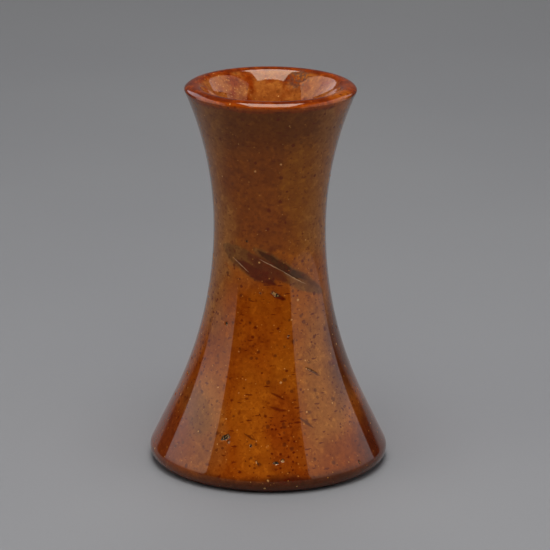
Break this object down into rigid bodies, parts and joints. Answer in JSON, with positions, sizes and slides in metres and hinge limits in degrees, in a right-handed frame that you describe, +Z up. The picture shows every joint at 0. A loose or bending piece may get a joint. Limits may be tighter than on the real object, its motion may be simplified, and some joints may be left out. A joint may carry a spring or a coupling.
{
  "type": "vase",
  "caption": "Waisted stone vase with a flared foot, concave wall, rounded trumpet mouth, drilled bore and a felt disc let into its base.",
  "frame": {"origin": "centre of the underside, where the vase rests on a table", "axes": "+Z up along the axis of turning, from the foot to the mouth"},
  "size_m": [0.124, 0.124, 0.2],
  "materials": {
    "polished_stone": "high polish, amber to red-brown with darker clouds, specks and a few healed cracks",
    "dark_felt": "dense matt wool felt"
  },
  "bodies": {
    "root": {"vase_body": "polished_stone", "base_felt": "dark_felt"}
  },
  "joints": []
}
